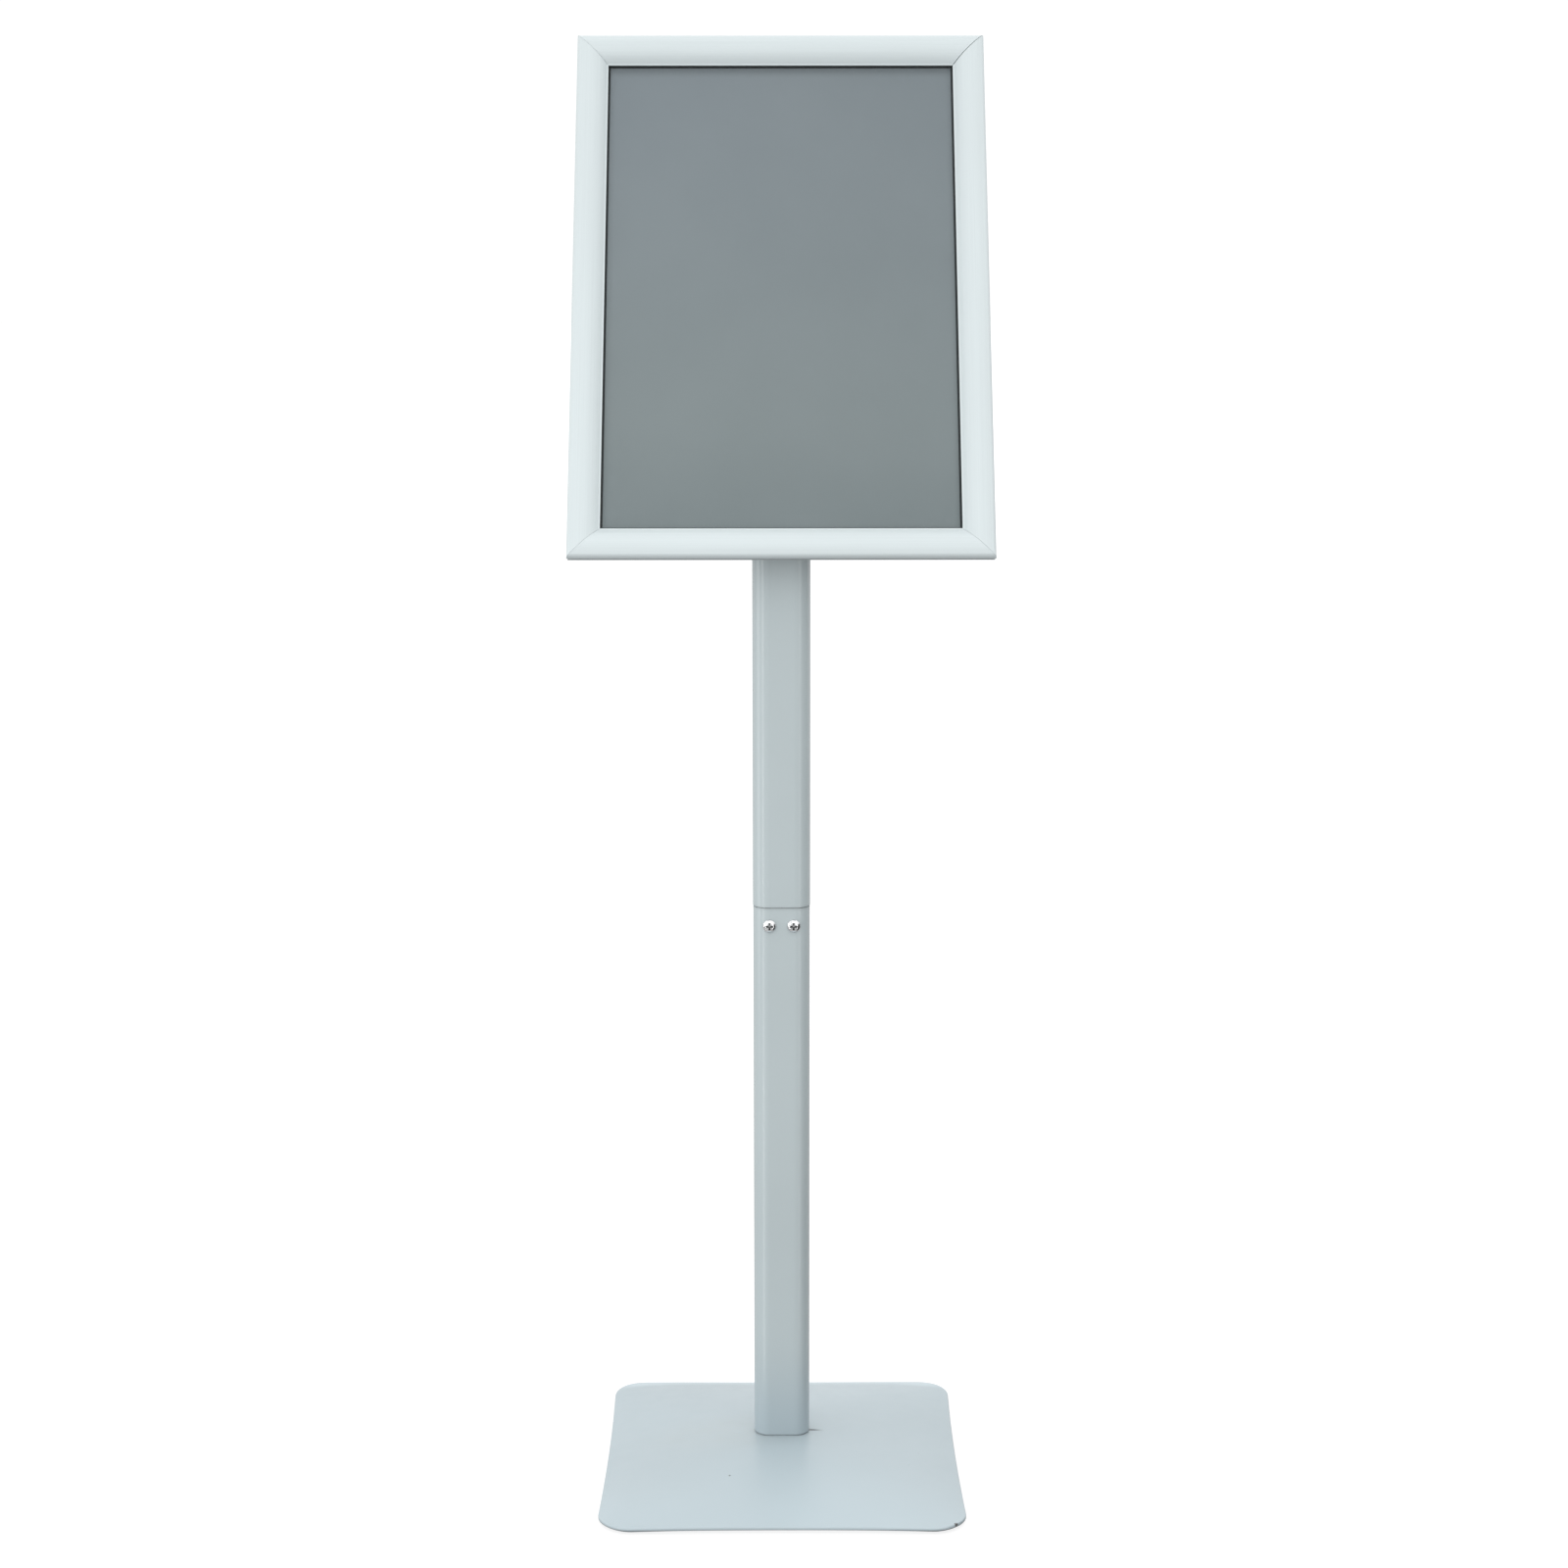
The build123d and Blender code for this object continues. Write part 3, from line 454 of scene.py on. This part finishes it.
def bright_plate():
    """Bright nickel on the seam's screws, with a trace of grey, and painted shade in their
    recesses.
    """
    m = Paint("bright_plate", (0.78, 0.79, 0.80), 0.16, metallic=1.0)
    stain = m.ramp(m.noise(420.0, 3.0), 0.42, 0.65, 0.0, 0.5)
    metal = m.mix(stain, (0.80, 0.81, 0.82), (0.50, 0.51, 0.52))
    # Painted shade in the screws' recesses
    m.set("Base Color", m.mix(m.crevice(1.6 * MM), metal, (0.03, 0.035, 0.035)))
    m.set("Roughness", m.spread(m.noise(900.0, 2.0), 0.12, 0.24))
    m.relief(m.noise(3200.0, 2.0), 0.008 * MM, 0.5)
    return m


def spring_steel():
    """Tempered leaf spring: blue-grey oxide with a straw tint."""
    m = Paint("spring_steel", (0.30, 0.31, 0.34), 0.32, metallic=1.0)
    tint = m.ramp(m.noise(70.0, 3.0), 0.4, 0.7)
    m.set("Base Color", m.mix(tint, (0.28, 0.30, 0.36), (0.40, 0.35, 0.27)))
    m.relief(m.noise(1400.0, 2.0), 0.01 * MM, 0.5)
    return m


def moulded(name, base, roughness, grain=1500.0, depth=0.06 * MM):
    """Moulded plastic with a fine spark-eroded grain, paler where hands rub it."""
    m = Paint(name, base, roughness)
    worn = m.product(m.edge_wear(1.2 * MM), m.noise(180.0, 3.0))
    pale = tuple(channel * 1.15 + 0.035 for channel in base)
    tone = m.mix(m.ramp(m.noise(30.0, 3.0), 0.35, 0.65), shade(base, 0.92), shade(base, 1.08))
    m.set("Base Color", m.mix(worn, tone, pale))
    m.set("Roughness", m.spread(m.noise(120.0, 2.0), roughness - 0.06, roughness + 0.08))
    m.relief(m.cells(grain), depth, 0.5)
    return m


def brass():
    """Turned brass insert, a little tarnished."""
    m = Paint("turned_brass", (0.72, 0.55, 0.27), 0.28, metallic=1.0)
    m.set("Base Color", m.mix(m.noise(300.0, 3.0), (0.74, 0.58, 0.30), (0.56, 0.40, 0.20)))
    m.relief(m.noise(2500.0, 2.0), 0.01 * MM, 0.6)
    return m


def rubber():
    """Dark rubber pad with dust in its pores."""
    m = Paint("pad_rubber", (0.035, 0.036, 0.038), 0.75)
    dust = m.ramp(m.noise(260.0, 4.0), 0.5, 0.75, 0.0, 0.5)
    m.set("Base Color", m.mix(dust, (0.034, 0.035, 0.037), (0.13, 0.13, 0.125)))
    m.relief(m.noise(1600.0, 3.0), 0.08 * MM, 0.6)
    return m


# ----------------------------------------------------------------------------------- welds

WELD_R = 1.7 * MM
WELD_SINK = 1.0 * MM  # the bead's centre line behind the plate's back
WELD_TRIM = 6 * MM  # the plate's height left bare at each end of the bead
WELD_PLACE = 0.70  # of the tube's half width
WELD_SIDES = 14
WELD_RIPPLE = 2.4 * MM
WELD_RINGS = 8  # per ripple
WELD_SWELL = 0.10  # of the radius, at the middle of a ripple
WELD_WANDER = 0.04  # of the radius, slowly along the bead
WELD_WANDER_RATE = 17.3
WELD_WANDER_START = 900  # for each metre across, so that the two beads differ
WELD_LAG = 0.35  # of a ripple, by which a ring's back is ahead of its front
WELD_TAPER = 6  # an end tapers over one in so many parts of the bead
WELD_TIP = 0.15  # of the radius


def add_weld(name, across, made):
    """Rippled fillet weld up one side of the tube, in the groove behind the head plate."""
    low, high = sign_extent("head_plate", SIGN_UP)
    low, high = low + WELD_TRIM, high - WELD_TRIM
    back = sign_extent("head_plate", SIGN_NORMAL)[0] - WELD_SINK
    rings = int((high - low) / WELD_RIPPLE * WELD_RINGS)
    mesh = bmesh.new()
    loops = []
    for i in range(rings + 1):
        part = i / rings
        phase = (i % WELD_RINGS) / WELD_RINGS
        taper = min(1.0, WELD_TAPER * part, WELD_TAPER * (1 - part)) ** 0.5
        wander = math.sin(WELD_WANDER_RATE * part + WELD_WANDER_START * across)
        swell = 1 + WELD_SWELL * math.sin(math.pi * phase) + WELD_WANDER * wander
        radius = max(WELD_TIP, taper) * swell * WELD_R
        loop = []
        for j in range(WELD_SIDES):
            turn = 2 * math.pi * j / WELD_SIDES
            lag = WELD_LAG * WELD_RIPPLE * math.cos(turn)
            place = SIGN_UP * (low + (high - low) * part + lag)
            place += SIGN_NORMAL * (back + radius * math.sin(turn))
            place += ACROSS * (across + radius * math.cos(turn))
            loop.append(mesh.verts.new(SIGN_CENTRE + place))
        loops.append(loop)
    for one, two in zip(loops, loops[1:]):
        for j in range(WELD_SIDES):
            k = (j + 1) % WELD_SIDES
            mesh.faces.new((one[j], one[k], two[k], two[j]))
    mesh.faces.new(loops[0][::-1])
    mesh.faces.new(loops[-1])
    bmesh.ops.recalc_face_normals(mesh, faces=mesh.faces)
    data = bpy.data.meshes.new(name)
    mesh.to_mesh(data)
    mesh.free()
    for face in data.polygons:
        face.use_smooth = True
    weld = bpy.data.objects.new(name, data)
    bpy.context.scene.collection.objects.link(weld)
    data.materials.append(made.material)
    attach(weld, "stand")


# ------------------------------------------------------------------------ floor and light

SKY = 1.03  # at the horizon and above
ZENITH = 0.46  # more than that straight up
GROUND = 0.56  # below the horizon
GROUND_EDGE = (-0.16, -0.01)  # sines of the angles between which the ground turns to sky
FLOOR_R = 60.0
FLOOR_GLOW = 0.82
CARD_X = 0.8
CARD_Y = (-0.70, 0.28)
CARD_Z = (-0.9, 0.68)
STRIP_SIZE = (0.06, 2.6)

# Name, azimuth, elevation, distance, size, height it is aimed at, and level
LIGHTS = (
    ("left_strip", -42, 0, 2.0, STRIP_SIZE, 0.30, 0.16),
    ("right_strip", 42, 0, 2.0, STRIP_SIZE, 0.30, 0.105),
    ("left_fill", -78, 8, 2.2, (0.8, 1.6), 0.30, 0.13),
    ("front_softbox", 0, 48, 2.4, (1.3, 0.7), 0.1, 0.05),
)


def grey(level):
    return (level, level, level)


def add_floor():
    """Wide white floor that isn't part of the object. It glows, so that no shadow shows on it."""
    bpy.ops.mesh.primitive_circle_add(vertices=128, radius=FLOOR_R, fill_type="NGON")
    floor = bpy.context.object
    floor.name = "floor"
    m = Paint("floor_paint", grey(0.22), 0.95)
    m.set("Base Color", m.mix(m.noise(3.0, 2.0), grey(0.215), grey(0.225)))
    m.set("Emission Color", grey(1.0))
    m.set("Emission Strength", FLOOR_GLOW)
    floor.data.materials.append(m.material)
    floor.visible_diffuse = False
    floor.visible_glossy = False
    floor.visible_shadow = False


def add_area(name, azimuth, elevation, distance, size, target, level):
    """One area light aimed at a height on the stand's axis. level is the light it lays on a
    white surface that faces it, where 1 shows as white."""
    a, e = math.radians(azimuth), math.radians(elevation)
    way = Vector((math.sin(a) * math.cos(e), -math.cos(a) * math.cos(e), math.sin(e)))
    data = bpy.data.lights.new(name, "AREA")
    data.shape = "RECTANGLE"
    data.size, data.size_y = size
    data.energy = level * math.pi**2 * distance**2
    light = bpy.data.objects.new(name, data)
    bpy.context.scene.collection.objects.link(light)
    light.location = Vector((0.0, 0.0, target)) + way * distance
    light.rotation_euler = (-way).to_track_quat("-Z", "Y").to_euler()


def add_card():
    """Dark card to the right of the pole, out of sight, that shades the pole's right side."""
    (front, rear), (bottom, top) = CARD_Y, CARD_Z
    outline = ((front, bottom), (rear, bottom), (rear, top), (front, top))
    data = bpy.data.meshes.new("card")
    data.from_pydata([(CARD_X, y, z) for y, z in outline], [], [(0, 1, 2, 3)])
    card = bpy.data.objects.new("card", data)
    bpy.context.scene.collection.objects.link(card)
    m = Paint("card_cloth", grey(0.05), 0.9)
    m.set("Base Color", m.mix(m.noise(40.0), grey(0.045), grey(0.055)))
    data.materials.append(m.material)
    card.visible_camera = False


def add_sky():
    """Even bright sky, brighter overhead and duller below the horizon."""
    world = bpy.data.worlds.new("studio")
    bpy.context.scene.world = world
    world.use_nodes = True
    tree = world.node_tree
    place = tree.nodes.new("ShaderNodeTexCoord")
    split = tree.nodes.new("ShaderNodeSeparateXYZ")
    tree.links.new(place.outputs["Generated"], split.inputs[0])

    def level(low, high, at_low, at_high):
        node = tree.nodes.new("ShaderNodeMapRange")
        for socket, value in zip(node.inputs[1:5], (low, high, at_low, at_high)):
            socket.default_value = value
        tree.links.new(split.outputs["Z"], node.inputs["Value"])
        return node.outputs["Result"]

    total = tree.nodes.new("ShaderNodeMath")
    tree.links.new(level(*GROUND_EDGE, GROUND, SKY), total.inputs[0])
    tree.links.new(level(0.0, 1.0, 0.0, ZENITH), total.inputs[1])
    background = tree.nodes["Background"]
    tree.links.new(total.outputs[0], background.inputs["Strength"])
    background.inputs["Color"].default_value = (1.0, 1.0, 1.0, 1.0)


# ----------------------------------------------------------------------------------- make

add_camera()
add_floor()
add_sky()
for light in LIGHTS:
    add_area(*light)
add_card()
bpy.context.scene.view_settings.view_transform = "Standard"

dress(base_paint(), "base_plate")
dress(pole_paint(), "lower_tube", "upper_tube", "head_plate")
# The rails take the darker satin, as painted shade
for part, base, metallic in (("cover", SATIN, 0.15), ("rail", RAIL_SHADED_SATIN, 0.5)):
    for way, drawn, sides in (
        ("across", DRAWN_ACROSS, ("bottom", "top")),
        ("upright", DRAWN_UPRIGHT, ("left", "right")),
    ):
        made = frame_metal(f"{part}_metal_{way}", drawn, base, metallic)
        dress(made, *(f"{part}_{side}" for side in sides))
dress(blank_sheet(), "poster_sheet")
dress(clear_cover(), "clear_cover_sheet")
dress(back_board(), "back_panel")
dress(bright_plate(), "joiner_screws")
dress(
    zinc(),
    *("crossbar_lower", "crossbar_upper", "bracket_plate", "bracket_rivets", "crossbar_screws"),
    *("base_clamp_plate", "base_bolts", "base_spring_washers", "pole_foot_plug"),
    *("pivot_stud", "knob_washer", "tube_spacer", "joiner_sleeve", "joiner_weld_nuts"),
    *(f"corner_key_{corner}" for corner in CORNERS),
    "corner_key_screws",
)
dress(spring_steel(), *(f"springs_{side}" for side in SIDES))
dress(moulded("knob_plastic", (0.022, 0.023, 0.025), 0.46), "clamp_knob")
dress(moulded("cap_plastic", (0.36, 0.39, 0.40), 0.5), "tube_end_cap")
dress(moulded("washer_nylon", (0.70, 0.69, 0.64), 0.42, 900.0, 0.02 * MM), "friction_washer")
dress(brass(), "knob_insert")
dress(rubber(), *(f"foot_pad_{place}" for place in PAD_PLACES))

weld_coat = powder_coat("weld_powder_coat", WELD_COLOUR, 0.48)
weld_across = WELD_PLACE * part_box("upper_tube")[1].x
add_weld("head_weld_left", -weld_across, weld_coat)
add_weld("head_weld_right", weld_across, weld_coat)
